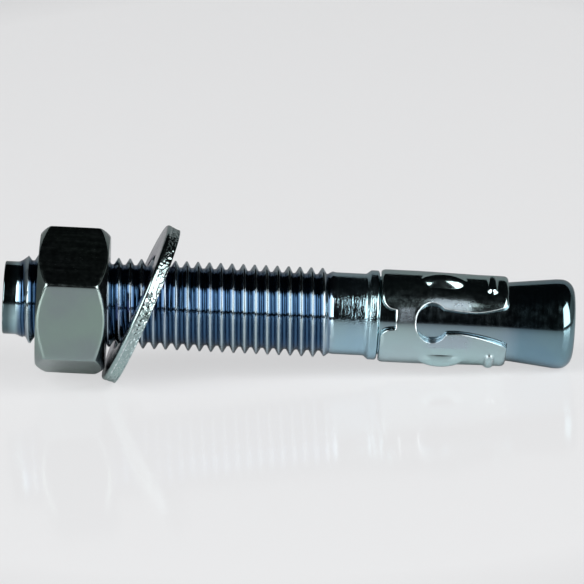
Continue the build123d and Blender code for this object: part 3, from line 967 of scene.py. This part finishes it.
# %% The four finishes
DOG_ZINC = (0.12, 0.18, 0.19)
THREAD_ZINC = (0.47, 0.56, 0.59)
SHANK_ZINC = (0.38, 0.55, 0.58)
NECK_ZINC = (0.33, 0.44, 0.46)
CONE_ZINC = (0.22, 0.35, 0.38)
# painted shade: the dog end, the neck and the cone are tinted darker, where they mirror a dimmer floor or lie
# in the clip's shade
bolt_zones = [
    (0.0, DOG_ZINC),
    (STUD_END, CONE_ZINC),
    (1.5, DOG_ZINC),
    (3.0, SHANK_ZINC),
    (6.0, THREAD_ZINC),
    (THREAD_END - 2, THREAD_ZINC),
    (THREAD_END, SHANK_ZINC),
    (COLLAR_END, SHANK_ZINC),
    (COLLAR_END + 1, NECK_ZINC),
    (CONE_START, NECK_ZINC),
    (CONE_START + 3, CONE_ZINC),
]
finishes = {
    bolt: plated(
        "bolt_zinc",
        tint=bolt_zones,
        shade=(0.86, 0.88, 1.0),
        hollow=(0.05, 0.11, 0.20),
        smooth=0.04,
        hazy=0.10,
        line=(1500.0, 160.0, 0.002),
        fine=(700.0, 0.001),
        coarse=(2200.0, 0.06),
        deeper=75.0,
    ),
    nut: plated(
        "nut_zinc",
        tint=(0.31, 0.41, 0.37),
        shade=(0.94, 0.86, 0.96),
        hollow=(0.10, 0.13, 0.16),
        smooth=0.10,
        hazy=0.3,
        line=(60.0, 1100.0, 0.002),
        fine=(900.0, 0.001),
        coarse=(900.0, 0.0),
        cloud=90.0,
    ),
    washer: plated(
        "washer_zinc",
        tint=(0.37, 0.47, 0.48),
        shade=(0.9, 0.95, 0.9),
        hollow=(0.15, 0.12, 0.19),
        smooth=0.08,
        hazy=0.08,
        line=(60.0, 60.0, 0.001),
        fine=(900.0, 0.001),
        coarse=(1800.0, 0.1),
    ),
    clip: plated(
        "clip_zinc",
        tint=(0.43, 0.60, 0.60),
        shade=(1.0, 0.90, 0.94),
        hollow=(0.40, 0.46, 0.54),
        smooth=0.06,
        hazy=0.36,
        line=(50.0, 500.0, 0.0015),
        fine=(900.0, 0.001),
        coarse=(1500.0, 0.05),
    ),
}
for piece, finish in finishes.items():
    piece.data.materials.append(finish)
print("materials:", [finish.name for finish in finishes.values()])

# %% [markdown]
# ## Floor and light
# A mirror shows what is around it, so a metal part is lit by its surroundings. The floor is dark, with a pale
# oval painted on it under the bolt as a pool of light, and the lower half of every round shows that painted
# pool. The room in front is dark and shows in the upper half, and only the top of a round shows the grey wall
# behind. Two tall lamps stand in front, one on each side. A plain cylinder does not show them, but a flank of
# the thread, a bump or a rounded edge is turned towards one of them and shows it as a bright band.

# %% Floor
POOL_MIDDLE = 0.162  # metres behind the bolt
POOL_HALF_WIDTH = 0.20
POOL_HALF_DEPTH = 0.36
POOL_COLOUR = (0.80, 0.81, 0.82)
FLOOR_COLOUR = (0.12, 0.12, 0.13)


def studio_object(name, corners, faces):
    """An object of the studio, which is no piece of the anchor."""
    mesh = bpy.data.meshes.new(name)
    mesh.from_pydata(corners, [], faces)
    thing = bpy.data.objects.new(name, mesh)
    bpy.context.scene.collection.objects.link(thing)
    return thing


floor = studio_object("floor", [(-3, -3, 0), (3, -3, 0), (3, 3, 0), (-3, 3, 0)], [(0, 1, 2, 3)])
paper, tree, shader = new_material("pale_floor")
# the painted pool of light is an oval: inside radius 1 it is white, and it fades out to the dark floor beyond
where = add(tree, "TexCoord").outputs["Object"]
shift = (0.0, -POOL_MIDDLE / POOL_HALF_DEPTH, 0.0)
size = (1 / POOL_HALF_WIDTH, 1 / POOL_HALF_DEPTH, 1.0)
oval = add(tree, "Mapping", {"Vector": where, "Location": shift, "Scale": size})
length = add(tree, "VectorMath", {0: oval.outputs["Vector"]}, operation="LENGTH")
fade = scaled(tree, 0.86, 1.1, length.outputs["Value"])
feed(tree, shader.inputs["Base Color"], blend(tree, fade, opaque(POOL_COLOUR), opaque(FLOOR_COLOUR)))
feed(tree, shader.inputs["Roughness"], 0.1)
# the camera sees the floor paler than the metal mirrors it, and the shadow stays
pale = add(tree, "Emission", {"Color": (0.95, 0.95, 0.96, 1.0), "Strength": 1.0})
seen = reckon(tree, "MULTIPLY", add(tree, "LightPath").outputs["Is Camera Ray"], 0.6)
both = add(tree, "MixShader", {0: seen, 1: shader.outputs[0], 2: pale.outputs[0]})
feed(tree, tree.nodes["Material Output"].inputs["Surface"], both.outputs[0])
floor.data.materials.append(paper)
print(f"{paper.name}: {len(tree.nodes)} nodes")

# %% World and backdrop
BACKDROP_HALF_WIDTH = 2.0
BACKDROP_FRONT = -0.4
BACKDROP_BACK = 1.5
BACKDROP_HEIGHT = 1.15

world = bpy.data.worlds.new("studio")
bpy.context.scene.world = world
world.use_nodes = True
room = world.node_tree.nodes["Background"]
room.inputs["Color"].default_value = (0.004, 0.0045, 0.005, 1)
room.inputs["Strength"].default_value = 1.0

path = [
    (-BACKDROP_HALF_WIDTH, BACKDROP_FRONT),
    (-BACKDROP_HALF_WIDTH, BACKDROP_BACK),
    (BACKDROP_HALF_WIDTH, BACKDROP_BACK),
    (BACKDROP_HALF_WIDTH, BACKDROP_FRONT),
]
points = np.stack([np.column_stack([path, np.full(len(path), high)]) for high in (0.0, BACKDROP_HEIGHT)])
corners, faces = grid(points)
backdrop = studio_object("backdrop", corners.tolist(), faces.tolist())
cloth, _, shader = new_material("grey_backdrop")
shader.inputs["Base Color"].default_value = (0.30, 0.31, 0.31, 1)
shader.inputs["Roughness"].default_value = 0.8
backdrop.data.materials.append(cloth)
print(f"{backdrop.name}: {len(backdrop.data.polygons)} faces")


# %% Softboxes
def softbox(name, azimuth, distance, width, bottom, top, radiance):
    """An upright rectangular lamp that faces the bolt; azimuth counts to the right from straight in front.

    A lamp of area A that sends out the radiance L in every direction has the power pi * A * L.
    """
    light = bpy.data.lights.new(name, "AREA")
    light.shape, light.size, light.size_y = "RECTANGLE", width, top - bottom
    light.energy = pi * width * (top - bottom) * radiance
    lamp = bpy.data.objects.new(name, light)
    azimuth = radians(azimuth)
    right = (np.cos(azimuth), np.sin(azimuth), 0.0)
    away = np.array([np.sin(azimuth), -np.cos(azimuth), 0.0])
    pose = np.eye(4)
    pose[:3, 0], pose[:3, 1], pose[:3, 2] = right, (0.0, 0.0, 1.0), away
    pose[:3, 3] = distance * away + np.array([0.0, 0.0, (bottom + top) / 2])
    lamp.matrix_world = Matrix(pose.tolist())
    bpy.context.scene.collection.objects.link(lamp)


for name, azimuth in (("left_wall", -47), ("right_wall", 47)):
    softbox(name, azimuth, distance=1.6, width=1.65, bottom=0.12, top=2.3, radiance=4.0)
print("lamps:", [light.name for light in bpy.data.lights])

# %% [markdown]
# ## Bodies and the CAD nodes they stand for
# Each piece rides on the body that it belongs to, and stands for its CAD node.

# %% Riding
for piece, body, node, slot in [
    (bolt, "stud", "anchor_stud", "stud_steel"),
    (clip, "clip", "expansion_clip", "clip_steel"),
    (washer, "washer", "washer", "washer_steel"),
    (nut, "nut", "hex_nut", "nut_steel"),
]:
    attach(piece, body)
    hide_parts(node)
    print(f"{piece.name} rides on {body} and stands for {node}")
